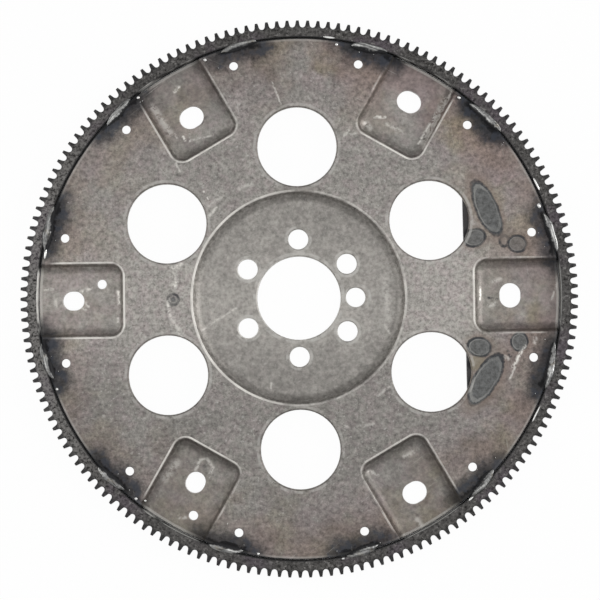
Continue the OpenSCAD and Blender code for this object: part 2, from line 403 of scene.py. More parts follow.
@dataclass(frozen=True)
class SheetSteel(Finish):
    """Bare rolled sheet: mottled grey, tinted and sooty at the ring welds, worn and painted with highlights
    on its folds, painted shade in its creases.
    """

    ovals: tuple[Oval, ...] = ()
    marks: tuple[Mark, ...] = ()
    base: Colour = (0.285, 0.272, 0.252)
    pink: Colour = (0.292, 0.262, 0.252)
    # Pale specks of the grain, and painted highlights on hole rims, oval edges and the outer edge.
    specks_and_highlights: Colour = (0.56, 0.55, 0.52)
    # Bright wear, also painted along the folds as highlights.
    worn: Colour = (0.80, 0.775, 0.725)
    brown: Colour = (0.200, 0.150, 0.118)
    purple: Colour = (0.246, 0.196, 0.197)
    straw: Colour = (0.238, 0.205, 0.140)
    soot: Colour = (0.030, 0.033, 0.039)
    blue: Colour = (0.052, 0.061, 0.080)
    # Near black for painted shade under the ring welds' inner toes.
    toe_shade: Colour = (0.006, 0.006, 0.007)
    blued: Colour = (0.118, 0.122, 0.122)
    # Dark pits and dirt, and painted shade in creases, below folds and at the hub's top and bottom.
    grime_and_shade: Colour = (0.085, 0.076, 0.064)
    bead_half: float = 10.5
    bead_turn: float = -1.6
    hub_radius: float = 69.5
    crank_place: float = 38.1
    crank_radius: float = 6.5
    crank_angles: tuple[float, ...] = (-35.0, 0.0, 35.0, 90.0, 150.0, 210.0, 270.0)
    pad_start: float = 112.5
    pad_width: float = 49.0
    pad_corner: float = 9.0

    def to_bead(self, spot: Spot) -> tuple[Wire, Wire]:
        """Ragged distance from the nearest ring weld, and a fixed chance value for that weld."""
        moved = spot.angle - math.radians(self.bead_turn)
        turned = (moved - BEAD_PITCH / 2).wrapped(BEAD_PITCH)
        sector = ((moved - turned) / BEAD_PITCH).math("ROUND")
        chance = sector.node("ShaderNodeTexWhiteNoise", {"noise_dimensions": "1D"}, {"W": sector}, "Value")
        along = (abs(turned) * BEAD_RADIUS - self.bead_half).top(0.0) * 0.75
        inward = BEAD_RADIUS - spot.radius
        ragged = (spot.noise(11, 5, 5, 0.65) - 0.5) * 18
        return along.hypot(inward) + ragged, chance

    def to_lightening(self, spot: Spot) -> Wire:
        """Distance from the middle of the nearest lightening hole."""
        turned = (spot.angle - PAD_PITCH / 2).wrapped(PAD_PITCH)
        aside = spot.radius * turned.math("SINE")
        out = spot.radius * turned.math("COSINE") - LIGHTENING_PLACE
        return aside.hypot(out)

    def to_pad(self, spot: Spot) -> tuple[Wire, Wire]:
        """Distance in plan from the nearest pad's fold, negative inside it, and how far into a corner."""
        turned = spot.angle.wrapped(PAD_PITCH)
        inward = (self.pad_start + self.pad_corner - spot.radius * turned.math("COSINE")).top(0.0)
        straight = self.pad_width / 2 - self.pad_corner
        aside = (abs(spot.radius * turned.math("SINE")) - straight).top(0.0)
        return inward.hypot(aside) - self.pad_corner, (inward * aside).fade(4, 30)

    def mottle(self, spot: Spot, tone: Wire, low: Wire) -> Wire:
        """The rolled grain: lumps of tint, pale specks and dark pits, weaker on the pressed floors."""
        tint = spot.noise(6, 3, 13).fade(0.42, 0.62) * (0.8 - spot.radius.fade(72, 66) * 0.6)
        colour = spot.colour(self.base).over(self.pink, tint).scaled(tone)
        colour = colour.over(self.specks_and_highlights, spot.noise(1.9, 2, 7).fade(0.60, 0.74) * (0.45 - low * 0.2))
        return colour.over(self.grime_and_shade, spot.noise(2.1, 2, 6).fade(0.38, 0.27) * (0.5 - low * 0.3))

    def hole_rims(self, spot: Spot, colour: Wire) -> Wire:
        """Painted highlights in pale rings around the holes, and a dark line at the lightening holes' very
        edge, over a colour.
        """
        patchy = spot.noise(7, 3, 24).fade(0.36, 0.6) * spot.rise.fade(0.9, 0.98)
        rings = spot.radius.band(PILOT_RADIUS + 1.0, PILOT_RADIUS + 2.4, 0.8)
        for turn in self.crank_angles:
            angle = math.radians(turn)
            place = (self.crank_place * math.cos(angle), self.crank_place * math.sin(angle))
            away = spot.to_line(place, (place[0] + 0.01, place[1]))
            rings = rings.top(away.band(self.crank_radius + 0.8, self.crank_radius + 1.8, 0.9))
        away = self.to_lightening(spot) - LIGHTENING_RADIUS
        rings = rings.top(away.band(1.4, 2.4, 0.7) * 0.7)
        # Painted highlights around the holes, broken up in patches.
        colour = colour.over(self.specks_and_highlights, rings * patchy * 0.55)
        return colour.over(self.grime_and_shade, away.band(-0.5, 0.7, 0.4) * spot.rise.fade(0.2, 0.5) * 0.35)

    def burnt(self, spot: Spot, colour: Wire, tone: Wire) -> Wire:
        """The oval marks over a colour: a halo, a dark filling, a painted highlight inside the edge that is
        stronger on the left, and a dark line around it.
        """
        front = spot.rise.fade(0.0, 0.3)
        wobble = (spot.noise(9, 3, 11) - 0.5) * 0.2 + (spot.noise(2.2, 2, 19) - 0.5) * 0.16
        brown = straw = fill = lit = line = 0.0
        for oval in self.ovals:
            at = spot.in_oval(oval, wobble)
            halo = at.fade(1.75, 1.05) * (0.45 * abs(oval.halo))
            half = oval.line / oval.width
            if oval.halo >= 0:
                brown = halo.top(brown)
            else:
                straw = halo.top(straw)
            fill = (at.fade(1.06, 0.94) * oval.strength).top(fill)
            # A painted highlight just inside each oval's edge, stronger on its left side.
            side = 0.1 + spot.x.fade(oval.x + 3, oval.x - 3) * 0.14
            lit = (at.band(0.80, 0.87, 0.06) * side * oval.strength).top(lit)
            line = at.band(1 - half, 1 + half, 1.6 * half).top(line)
        colour = colour.over(self.brown, brown * front).over(self.straw, straw * front)
        colour = colour.over(spot.colour(self.blued).scaled(tone), fill * front).over(self.specks_and_highlights, lit * front)
        return colour.over(self.soot, line * front * (0.4 + spot.noise(5, 3, 20).fade(0.4, 0.6) * 0.45))

    def scuffed(self, spot: Spot, colour: Wire) -> Wire:
        """Scratches and scuffs over a colour, broken up by noise, with a scatter of fine hairlines."""
        front = spot.rise.fade(0.0, 0.3)
        loose = spot.shaken(3.2, 14, 1.5)
        broken = spot.noise(2.4, 3, 15, 0.65).fade(0.36, 0.56)
        bright = dark = 0.0
        for mark in self.marks:
            line = spot.to_line((mark.x, mark.y), (mark.end_x, mark.end_y), loose).fade(mark.width, 0.0)
            if mark.strength >= 0:
                bright = (line * mark.strength).top(bright)
            else:
                dark = (line * -mark.strength).top(dark)
        colour = colour.over(self.worn, bright * broken * front).over(self.soot, dark * broken * front)
        for turn, seed in ((24.0, 1.0), (-38.0, 2.0), (81.0, 3.0)):
            hair = spot.streaks(50, 0.9, turn, seed).fade(0.68, 0.78)
            hair = hair * spot.noise(28, 2, 12 + seed).fade(0.46, 0.62)
            colour = colour.over(self.specks_and_highlights, hair * broken * 0.55)
        return colour

    def tone_and_painted_light(self, spot: Spot, cloud: Wire) -> Wire:
        """Slow changes of brightness: clouds, a painted pool of light at mid height, darker towards the
        bottom and at the upper left.
        """
        slow = 1 + (cloud - 0.5) * 0.5 + (spot.noise(8, 3, 17) - 0.5) * 0.7
        # A painted pool of light: a paler band at mid height.
        slow = slow + abs(spot.y).fade(62, 8) * spot.x.fade(118, 106) * (0.22 + spot.x.fade(66, 80) * 0.1)
        return slow - spot.y.fade(-10, -70) * 0.15 - spot.y.fade(105, 150) * spot.x.fade(40, 0) * 0.14

    def heated(self, spot: Spot, colour: Wire, tone: Wire, low: Wire) -> tuple[Wire, Wire]:
        """Heat tints and soot of the ring welds over a colour, with painted shade under their inner toes.

        Args:
            spot: The point.
            colour: The colour so far.
            tone: Its brightness.
            low: 1 on the pressed floors.

        Returns:
            The new colour, and how sooty the point is.
        """
        bead, chance = self.to_bead(spot)
        heat = spot.radius.fade(100, 158) * (0.6 + chance * 0.4) * (0.55 + spot.x.fade(-120, -20) * 0.45)
        straw = spot.colour(self.straw).scaled(tone)
        colour = colour.over(straw, heat * spot.noise(34, 3, 3).fade(0.44, 0.62) * 0.8)
        purple = heat * bead.fade(62, 26) * spot.noise(22, 3, 4).fade(0.38, 0.6)
        colour = colour.over(spot.colour(self.purple).scaled(tone), purple * 0.85)
        brown = spot.colour(self.brown).scaled(tone)
        colour = colour.over(brown, heat * bead.fade(32, 16) * (0.52 - low * 0.26))
        sooty = bead.fade(17, 5) * (0.8 + chance * 0.2)
        colour = colour.over(spot.colour(self.soot).scaled(tone), sooty * 0.95)
        colour = colour.over(self.blue, bead.band(2, 8, 3) * spot.noise(7, 3, 16).fade(0.48, 0.6) * 0.5)
        # Painted shade: a black line on the sheet under each weld's inner toe.
        toe_shade = bead.fade(4.5, 2.0) * spot.radius.band(163.6, 168.5, 0.7)
        return colour.over(self.toe_shade, toe_shade * 0.85), sooty

    def fold_wear_and_painted_light(self, spot: Spot, colour: Wire, sooty: Wire, front: Wire) -> tuple[Wire, Wire]:
        """Painted shade below the folds of hub and pads and at the hub's top and bottom, and bright wear with
        painted highlights along the folds, over a colour.

        Args:
            spot: The point.
            colour: The colour so far.
            sooty: How sooty the point is.
            front: 1 on faces turned to the front.

        Returns:
            The new colour, and how strongly wear and painted highlight cover the point.
        """
        hub = spot.radius - self.hub_radius
        pad, corner = self.to_pad(spot)
        fold = pad.band(-0.65, 0.15, 0.35) * (1 - corner * 0.5) * spot.radius.fade(165, 157)
        line = fold.top(hub.band(-0.75, 0.25, 0.4))
        line = line * spot.z.fade(WEB_TOP - 2.0, WEB_TOP - 1.2) * spot.rise.fade(0.5, 0.62)
        rims = spot.z.fade(0.06, 0.0) * spot.rise.band(0.35, 0.95, 0.03)
        edge = line.top(rims)
        scraped = spot.x.fade(70, 78) * spot.y.fade(80, 90)
        # Painted shade in a line just below each fold.
        fold_shade = (pad.band(-2.4, -1.6, 0.5) * (1 - scraped)).top(hub.band(-2.4, -1.6, 0.5) * 0.4)
        colour = colour.over(self.grime_and_shade, fold_shade * front * 0.42)
        # Painted shade on the hub's fold at its top and bottom, stronger at the top.
        hub_top_shade = spot.radius.band(68.5, 73, 1.5) * abs(spot.x).fade(20, 4)
        colour = colour.over(self.grime_and_shade, hub_top_shade * front * (0.1 + spot.y.fade(-10, 10) * 0.22))
        # Wear along the folds and rims, painted brighter as highlights where light falls on them.
        ends = spot.radius.band(106, 118, 2) * 0.5
        sides = 0.02 + spot.x.fade(0, -44) * 0.55 + spot.x.fade(30, 66) * 0.14
        hubs = spot.radius.fade(90, 80) * sides
        outer = spot.x.fade(-62, -78) * 0.5 + spot.x.fade(64, 78) * spot.x.fade(112, 104) * 0.3
        pads = spot.radius.fade(80, 90) * outer
        wear_and_highlight = 0.05 + spot.noise(13, 3, 18).fade(0.40, 0.60) * 0.32 + hubs + pads + ends
        wear_and_highlight = edge * wear_and_highlight * (1 - sooty * 0.85)
        return colour.over(self.worn, wear_and_highlight), wear_and_highlight

    def look(self, spot: Spot) -> Look:
        """Mottling first, then heat, soot, ovals, wear and painted highlights, painted shade and marks over
        it.
        """
        grain = spot.noise(2.6, 4, 1, 0.7)
        cloud = spot.noise(30, 3, 2)
        front = spot.rise.fade(0.0, 0.3)
        slow = self.tone_and_painted_light(spot, cloud)
        low = spot.z.fade(4, 1)
        speckle = 1 + (grain - 0.5) * (2.6 - low * 0.7)
        tone = slow * speckle
        colour, sooty = self.heated(spot, self.mottle(spot, tone, low), tone, low)
        colour = self.hole_rims(spot, self.burnt(spot, colour, speckle))
        colour, wear_and_highlight = self.fold_wear_and_painted_light(spot, colour, sooty, front)
        # Painted shade in the crease at the foot of each wall.
        foot_shade = spot.z.band(0.05, 1.4, 0.9) * spot.rise.fade(1.0, 0.95) * front
        colour = colour.over(self.grime_and_shade, foot_shade * 0.16)
        # Painted highlight along the disc's outer edge, strongest on the pads.
        edge_highlight = spot.radius.fade(DISC_RADIUS - 2.2, DISC_RADIUS - 1.4) * front
        colour = colour.over(self.specks_and_highlights, edge_highlight * (1 - sooty) * (0.25 + low * 0.3))
        # Painted shade: black along the disc's outer edge, in the gap to the ring.
        gap_shade = spot.radius.fade(DISC_RADIUS - 0.8, DISC_RADIUS - 0.35)
        colour = colour.over(self.soot, gap_shade * spot.z.fade(1.5, 3.5) * 0.95)
        colour = self.scuffed(spot, colour)

        back = spot.rise.fade(-0.2, -0.6)
        colour = colour.over(self.grime_and_shade, back * cloud.fade(0.45, 0.75) * 0.4)
        roughness = 0.50 + (grain - 0.5) * 0.4 + (cloud - 0.5) * 0.2 + sooty * 0.2
        metallic = 0.62 - wear_and_highlight * 0.5
        return Look(colour, roughness, metallic, grain + spot.noise(0.6, 3, 9) * 0.5)


@dataclass(frozen=True)
class DarkRing(Finish):
    """Dark oxide on the starter ring, blackest on the teeth, purple at the welds, with painted shade along
    the bore and a painted highlight on the bore beside the pads.
    """

    base: Colour = (0.080, 0.077, 0.074)
    # Near black for the teeth, and painted shade along the bore.
    teeth_and_gap_shade: Colour = (0.026, 0.026, 0.027)
    worn: Colour = (0.27, 0.26, 0.25)
    # Near white for a painted highlight on the bore beside the pads.
    bore_highlight: Colour = (0.86, 0.85, 0.81)
    purple: Colour = (0.080, 0.065, 0.079)
    pad_half: float = 7.6
    root_radius: float = 175.1

    def look(self, spot: Spot) -> Look:
        """Coarse grain, dark teeth, painted shade along the bore and a painted highlight on it beside the
        pads, tinted stretches at the welds.
        """
        grain = spot.noise(2.0, 4, 21, 0.7)
        cloud = spot.noise(20, 3, 22)
        tone = (1 + (grain - 0.5) * 5.2 + (cloud - 0.5) * 0.9).top(0.15)
        colour = spot.colour(self.base).scaled(tone)
        turned = (spot.angle - BEAD_PITCH / 2).wrapped(BEAD_PITCH)
        near = abs(turned).fade(math.radians(11), math.radians(4)) * cloud.fade(0.42, 0.6)
        colour = colour.over(spot.colour(self.purple).scaled(tone), near * 0.6)
        # The ring's face is paler towards its left side.
        colour = colour.over(self.worn, spot.x.fade(-100, -172) * grain.fade(0.40, 0.6) * 0.7)
        colour = colour.over(self.worn, spot.noise(1.9, 3, 23).fade(0.56, 0.70) * 0.6)
        teeth = spot.radius.fade(self.root_radius - 0.8, self.root_radius + 1.6)
        # Painted shade: near black along the bore and its edge, where the gap to the disc lies.
        bore_shade = spot.radius.fade(RING_BORE + 0.9, RING_BORE + 0.3)
        colour = colour.over(self.teeth_and_gap_shade, (teeth * 0.72).top(bore_shade * 0.92))
        # Painted highlight on the bore and its edge beside each pad, stronger on the left.
        aside = abs(spot.angle.wrapped(PAD_PITCH))
        shown = aside.fade(math.radians(self.pad_half), math.radians(self.pad_half - 2))
        shown = shown * (0.3 + spot.x.fade(-70, -150) * 0.6)
        bore_highlight_share = spot.radius.fade(RING_BORE + 0.6, RING_BORE + 0.2) * shown * cloud.fade(0.36, 0.5)
        colour = colour.over(self.bore_highlight, bore_highlight_share)
        roughness = 0.52 + (grain - 0.5) * 0.5 + teeth * 0.08
        metallic = (0.85 - teeth * 0.25 - bore_shade * 0.4) * (1 - bore_highlight_share * 0.8)
        return Look(colour, roughness, metallic, grain + spot.noise(0.5, 3, 25) * 0.5, 0.08)


@dataclass(frozen=True)
class WeldMetal(Finish):
    """Bare weld: grey along the crest with painted highlights, black slag on its toes and at its ends."""

    silver: Colour = (0.31, 0.31, 0.305)
    # Pale grey for painted highlights along the crest.
    bright: Colour = (0.72, 0.72, 0.70)
    slag: Colour = (0.014, 0.014, 0.016)
    straw: Colour = (0.24, 0.20, 0.14)
    toe_rise: float = 0.5

    def look(self, spot: Spot) -> Look:
        """Slag at the toes, patches of tint and a few painted highlights in streaks along the crest."""
        grain = spot.noise(1.4, 3, 31, 0.6)
        cloud = spot.noise(7, 3, 32)
        colour = spot.colour(self.silver).scaled(0.85 + (grain - 0.5) * 0.9 + (cloud - 0.5) * 1.2)
        colour = colour.over(self.straw, spot.noise(5, 3, 34).fade(0.54, 0.68) * 0.4)
        flow = spot.around(11, 1.1, 3.3)
        # Painted highlights in streaks along the crest.
        colour = colour.over(self.bright, flow.fade(0.53, 0.64) * (0.45 + cloud.fade(0.45, 0.6) * 0.4))
        colour = colour.over(self.slag, flow.fade(0.44, 0.36) * 0.6)
        stray = (spot.noise(6, 3, 33) - 0.5) * 1.2
        slag = (spot.outward + stray).fade(-0.12, -0.42).top((spot.outward + stray).fade(0.42, 0.8) * 0.7)
        toe = WEB_TOP + self.toe_rise
        slag = slag.top(spot.z.fade(toe, toe - 0.4))
        colour = colour.over(self.slag, slag * 0.96)
        roughness = 0.36 + grain * 0.2 + slag * 0.3
        return Look(colour, roughness, 0.9 - slag * 0.6, grain, 0.05)


@dataclass(frozen=True)
class WeldDropGlint(Finish):
    """Drops of weld metal, painted near white to stand for their glints, with a little slag."""

    # Near white: a painted glint, not the metal's own colour.
    silver: Colour = (0.88, 0.88, 0.86)
    slag: Colour = (0.12, 0.12, 0.12)

    def look(self, spot: Spot) -> Look:
        """Near-white painted glint with a few dark patches."""
        grain = spot.noise(0.9, 3, 36)
        slag = grain.fade(0.42, 0.3)
        colour = spot.colour(self.silver).over(self.slag, slag * 0.6)
        return Look(colour, 0.3 + slag * 0.3, 0.7 - slag * 0.3, grain, 0.03)


@dataclass(frozen=True)
class PlugMetal(Finish):
    """The weights' weld metal: grey, heat-blued rings with slag in the hollows."""

    silver: Colour = (0.30, 0.30, 0.30)
    blued: Colour = (0.10, 0.11, 0.15)
    straw: Colour = (0.26, 0.20, 0.12)
    slag: Colour = (0.03, 0.028, 0.026)

    def look(self, spot: Spot) -> Look:
        """Patches of tint, dark where the noise is low."""
        grain = spot.noise(1.0, 4, 41, 0.65)
        cloud = spot.noise(7, 3, 42)
        colour = spot.colour(self.silver).scaled(1 + (grain - 0.5) * 0.8)
        colour = colour.over(self.blued, cloud.fade(0.5, 0.66) * 0.7)
        colour = colour.over(self.straw, spot.noise(6, 3, 43).fade(0.52, 0.7) * 0.5)
        slag = grain.fade(0.46, 0.34)
        colour = colour.over(self.slag, slag * 0.8)
        return Look(colour, 0.38 + grain * 0.25 + slag * 0.2, 0.95 - slag * 0.5, grain, 0.08)


@dataclass(frozen=True)
class MillScale(Finish):
    """Dark mill scale on the weights, rusty in patches and sooty around the weld metal."""

    ovals: tuple[Oval, ...] = ()
    scale: Colour = (0.062, 0.060, 0.060)
    rust: Colour = (0.135, 0.062, 0.028)
    soot: Colour = (0.02, 0.02, 0.022)
    worn: Colour = (0.32, 0.31, 0.30)

    def look(self, spot: Spot) -> Look:
        """Scale, rust in the noise's peaks, soot around each weld."""
        grain = spot.noise(1.6, 4, 51, 0.7)
        cloud = spot.noise(18, 4, 52)
        colour = spot.colour(self.scale).scaled(1 + (grain - 0.5) * 1.0 + (cloud - 0.5) * 0.6)
        rust = spot.noise(11, 5, 53, 0.7).fade(0.54, 0.68)
        colour = colour.over(self.rust, rust * 0.7)
        worn = spot.streaks(40, 0.8, 64.0, 5.0).fade(0.66, 0.74)
        colour = colour.over(self.worn, worn * 0.35)
        wobble = (spot.noise(6, 3, 54) - 0.5) * 0.5
        near = 0.0
        for oval in self.ovals:
            near = spot.in_oval(oval, wobble).fade(1.45, 1.0).top(near)
        colour = colour.over(self.soot, near * 0.8)
        roughness = 0.5 + (grain - 0.5) * 0.3 + rust * 0.25
        return Look(colour, roughness, 0.85 - rust * 0.7, grain + rust * 0.6, 0.08)


def added(name: str, bm: bmesh.types.BMesh, material: bpy.types.Material) -> bpy.types.Object:
    """Adds a finished shape to the scene.

    Args:
        name: Name of the object and its mesh.
        bm: The shape, which is used up.
        material: Its material.

    Returns:
        The new object.
    """
    mesh = bpy.data.meshes.new(name)
    bm.to_mesh(mesh)
    bm.free()
    mesh.materials.append(material)
    made = bpy.data.objects.new(name, mesh)
    bpy.context.scene.collection.objects.link(made)
    return made


@dataclass
class Part(ABC):
    """One shown piece that stands for one CAD node."""

    node: str
    finish: Finish
    slot: Slot
    mesh_source: bpy.types.Mesh
    crease: float = 34.0
    join_gap_m: ClassVar[float] = 1e-6
    flat_angle: ClassVar[float] = 0.3

    @abstractmethod
    def shape(self) -> bmesh.types.BMesh:
        """The piece's mesh in the CAD frame, in metres."""

    def merged(self) -> bmesh.types.BMesh:
        """A copy of the CAD mesh with its triangles joined and its flat faces whole."""
        bm = bmesh.new()
        bm.from_mesh(self.mesh_source)
        bmesh.ops.remove_doubles(bm, verts=bm.verts, dist=self.join_gap_m)
        limit = math.radians(self.flat_angle)
        bmesh.ops.dissolve_limit(bm, angle_limit=limit, verts=bm.verts, edges=bm.edges)
        return bm

    @staticmethod
    def outer_edges(bm: bmesh.types.BMesh, least: float = 50.0) -> list[bmesh.types.BMEdge]:
        """Edges that stand out with at least the given angle between their faces."""
        limit = math.radians(least)
        return [e for e in bm.edges if e.is_manifold and e.is_convex and e.calc_face_angle() > limit]

    @staticmethod
    def soften(bm: bmesh.types.BMesh, edges: list[bmesh.types.BMEdge], width: float, segments: int) -> None:
        """Rounds edges.

        Args:
            bm: The mesh to change.
            edges: Its edges to round.
            width: Width of the rounding.
            segments: Steps across the rounding.
        """
        bmesh.ops.bevel(
            bm, geom=edges, offset=width * MM, offset_type="OFFSET", segments=segments,
            profile=0.5, affect="EDGES", clamp_overlap=False, material=-1, loop_slide=False,
        )

    def build(self) -> None:
        """Makes the piece and puts it on the CAD body in place of its node."""
        bm = self.shape()
        bmesh.ops.recalc_face_normals(bm, faces=bm.faces)
        piece = added(f"{self.node}_shown", bm, self.finish.material())
        piece.data.shade_smooth()
        piece.data.set_sharp_from_angle(angle=math.radians(self.crease))
        flat = piece.modifiers.new("flat faces stay flat", "WEIGHTED_NORMAL")
        flat.keep_sharp = True
        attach(piece, BODY)
        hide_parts(self.node)
        LOG.info("%s: %d faces", piece.name, len(piece.data.polygons))


@dataclass
class SheetDisc(Part):
    """The pressed disc, with the rolled front edges that punching leaves around its holes."""

    lightening_round: float = 1.1
    pilot_round: float = 1.0
    seat_level: float = -0.2
    hub_reach: float = 50.0
    edge_gap: float = 0.5
    crank_round: float = 0.8
    hole_round: float = 0.4
    rim_round: float = 0.35

    @staticmethod
    def middle(edge: bmesh.types.BMEdge) -> Vector:
        """Middle of an edge, in millimetres."""
        return (edge.verts[0].co + edge.verts[1].co) / (2 * MM)

    def at_lightening(self, mid: Vector) -> bool:
        """Whether an edge's middle lies on the front rim of a lightening hole."""
        angle = math.atan2(mid.y, mid.x)
        near = PAD_PITCH / 2 + PAD_PITCH * round((angle - PAD_PITCH / 2) / PAD_PITCH)
        centre = Vector((math.cos(near), math.sin(near))) * LIGHTENING_PLACE
        return mid.z > WEB_TOP - 1 and abs((mid.xy - centre).length - LIGHTENING_RADIUS) < self.edge_gap

    def shape(self) -> bmesh.types.BMesh:
        """The CAD disc with rounded hole rims and a softened outer edge."""
        bm = self.merged()
        kinds = (
            (self.at_lightening, self.lightening_round, 4),
            (lambda mid: mid.z > self.seat_level and mid.xy.length < PILOT_RADIUS + 0.3, self.pilot_round, 3),
            (lambda mid: mid.z > self.seat_level and mid.xy.length < self.hub_reach, self.crank_round, 3),
            (lambda mid: mid.xy.length > DISC_RADIUS - self.edge_gap, self.rim_round, 2),
            (lambda mid: True, self.hole_round, 2),
        )
        for holds, width, segments in kinds:
            self.soften(bm, [e for e in self.outer_edges(bm) if holds(self.middle(e))], width, segments)
        return bm


@dataclass
class EdgedPart(Part):
    """A CAD node shown with all its outer edges rounded."""

    round_width: float = 0.3
    round_segments: int = 2
    least_angle: float = 40.0

    def shape(self) -> bmesh.types.BMesh:
        """The CAD node with rounded edges."""
        bm = self.merged()
        self.soften(bm, self.outer_edges(bm, self.least_angle), self.round_width, self.round_segments)
        return bm


@dataclass
class RingBead(Part):
    """One weld bead between disc and ring: a rippled, wandering dome with narrowed ends."""

    seed: int = 0
    centre: float = 167.75
    half_width: float = 2.85
    base: float = (WEB_TOP + RING_TOP) / 2
    rise: float = 1.8
    pitch: float = 2.4
    ripple: float = 0.09
    lumps: float = 0.55
    wander: float = 0.45
    slant: float = 1.1
    lump_length: float = 7.5
    wander_length: float = 9.0
    least_taper: float = 0.1
    grain: float = 0.06
    grain_per_m: float = 700.0
    ring_steps: int = 22
    sweep_steps: int = 84

    def span(self) -> tuple[float, float]:
        """Middle angle and half angle of the bead, from its CAD node's vertices."""
        angles = [math.atan2(v.co.y, v.co.x) for v in self.mesh_source.vertices]
        first = angles[0]
        turned = [math.remainder(a - first, math.tau) for a in angles]
        return first + (max(turned) + min(turned)) / 2, (max(turned) - min(turned)) / 2

    def shape(self) -> bmesh.types.BMesh:
        """A round section swept about the axis, then shaped into a bead."""
        middle, half = self.span()
        bm = bmesh.new()
        place = Matrix.Translation(Vector((self.centre, 0, self.base)) * MM)
        section = place @ Matrix.Rotation(math.pi / 2, 4, "X")
        bmesh.ops.create_circle(bm, segments=self.ring_steps, radius=self.half_width * MM, matrix=section)
        bmesh.ops.rotate(bm, verts=bm.verts, cent=(0, 0, 0), matrix=Matrix.Rotation(middle - half, 3, "Z"))
        bmesh.ops.spin(
            bm, geom=bm.verts[:] + bm.edges[:], cent=(0, 0, 0), axis=(0, 0, 1), dvec=(0, 0, 0),
            angle=2 * half, steps=self.sweep_steps,
            use_merge=False, use_normal_flip=False, use_duplicate=False,
        )
        bmesh.ops.holes_fill(bm, edges=[e for e in bm.edges if e.is_boundary], sides=0)
        for vert in bm.verts:
            self.settle(vert, middle, half)
        return bm

    def settle(self, vert: bmesh.types.BMVert, middle: float, half: float) -> None:
        """Moves one vertex of the swept tube to its place on the bead.

        Args:
            vert: The vertex.
            middle: The bead's middle angle, in radians.
            half: Half the bead's angle, in radians.
        """
        radius = vert.co.xy.length / MM
        angle = math.remainder(math.atan2(vert.co.y, vert.co.x) - middle, math.tau)
        along = max(-1.0, min(1.0, angle / half))
        across = (radius - self.centre) / self.half_width
        up = (vert.co.z / MM - self.base) / self.half_width
        run = angle * self.centre
        taper = max(self.least_taper, (1 - abs(along) ** 2.4) ** 0.6)
        lump = noise.noise(Vector((run / self.lump_length, self.seed * 4.7, 0.3))) * self.lumps
        phase = math.tau * (run / self.pitch + 0.45 * across * across + self.seed * 0.37)
        valley = (0.5 + 0.5 * math.cos(phase)) ** 2
        rough = noise.noise(vert.co * self.grain_per_m + Vector((self.seed, 0, 0))) * self.grain
        width = self.half_width * taper * (1 + 0.6 * lump)
        height = self.rise * taper * (1 + lump) * (1 - self.ripple * valley) * (1 + rough)
        sway = noise.noise(Vector((run / self.wander_length, 2.3, self.seed * 3.1))) * self.wander
        new_radius = self.centre + sway - self.slant * along + across * width
        tilt = (across * width) * (RING_TOP - WEB_TOP) / (2 * self.half_width)
        flat = Vector((math.cos(middle + angle), math.sin(middle + angle), 0)) * new_radius * MM
        vert.co = flat + Vector((0, 0, (self.base + tilt + up * height) * MM))


@dataclass
class WeightWeld(Part):
    """Weld metal in a counterweight's slot or hole, with rings of ripples on its open face."""

    rings: int = 6
    ring_width: float = 0.62
    dome: float = 0.45
    ripple: float = 0.11
    lumps: float = 0.18
    lumps_per_m: float = 400.0
    level_gap_m: ClassVar[float] = 1e-7

    def shape(self) -> bmesh.types.BMesh:
        """The CAD node with its lower face cut into rings and raised in ripples."""
        bm = self.merged()
        face = min(bm.faces, key=lambda f: f.calc_center_median().z)
        for _ in range(self.rings):
            bmesh.ops.inset_region(bm, faces=[face], thickness=self.ring_width * MM, use_even_offset=True)
        bmesh.ops.poke(bm, faces=[face])
        bm.normal_update()
        level = min(v.co.z for v in bm.verts) + self.level_gap_m
        lower = [v for v in bm.verts if v.co.z <= level]
        border = [v for v in lower if any(abs(f.normal.z) < 0.5 for f in v.link_faces)]
        for vert in lower:
            if vert in border:
                continue
            depth = min((vert.co - b.co).length for b in border) / MM
            share = min(1.0, depth / (self.rings * self.ring_width))
            swell = self.dome * math.sin(share * math.pi / 2)
            wave = self.ripple * math.cos(depth * math.tau / (2 * self.ring_width))
            lump = noise.noise(vert.co * self.lumps_per_m) * self.lumps
            vert.co.z -= (swell + wave + lump) * MM
        return bm


@dataclass(frozen=True)
class Drop:
    """One drop of weld metal on the front, drawn out around the axis by its length."""

    angle: float
    out: float
    radius: float
    length: float = 1.0


